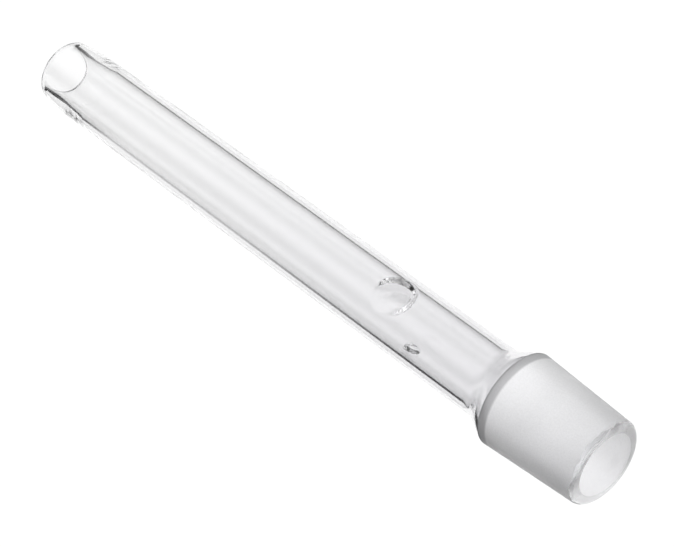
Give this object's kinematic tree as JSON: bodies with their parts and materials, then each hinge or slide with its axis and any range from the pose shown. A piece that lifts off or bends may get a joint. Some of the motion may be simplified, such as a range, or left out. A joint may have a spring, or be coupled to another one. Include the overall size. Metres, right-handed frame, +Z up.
{
  "type": "extraction tube",
  "caption": "Straight heavy-wall glass extraction tube with a thickened open mouth, pressed thimble rests and a ground taper joint.",
  "frame": {"origin": "under the middle of the overall length, on the surface that the joint's wide rim rests on", "axes": "+X along the tube's axis, out of the ground joint's open end; +Z up; the larger indentation is 20 degrees from the top, towards -Y"},
  "size_m": [0.351, 0.045, 0.0449],
  "materials": {
    "clear_glass": "clear drawn borosilicate, fire polished",
    "ground_glass": "clear borosilicate with a finely ground, frosted taper"
  },
  "bodies": {
    "root": {"extraction_tube": "clear_glass", "ground_joint": "ground_glass"}
  },
  "joints": []
}
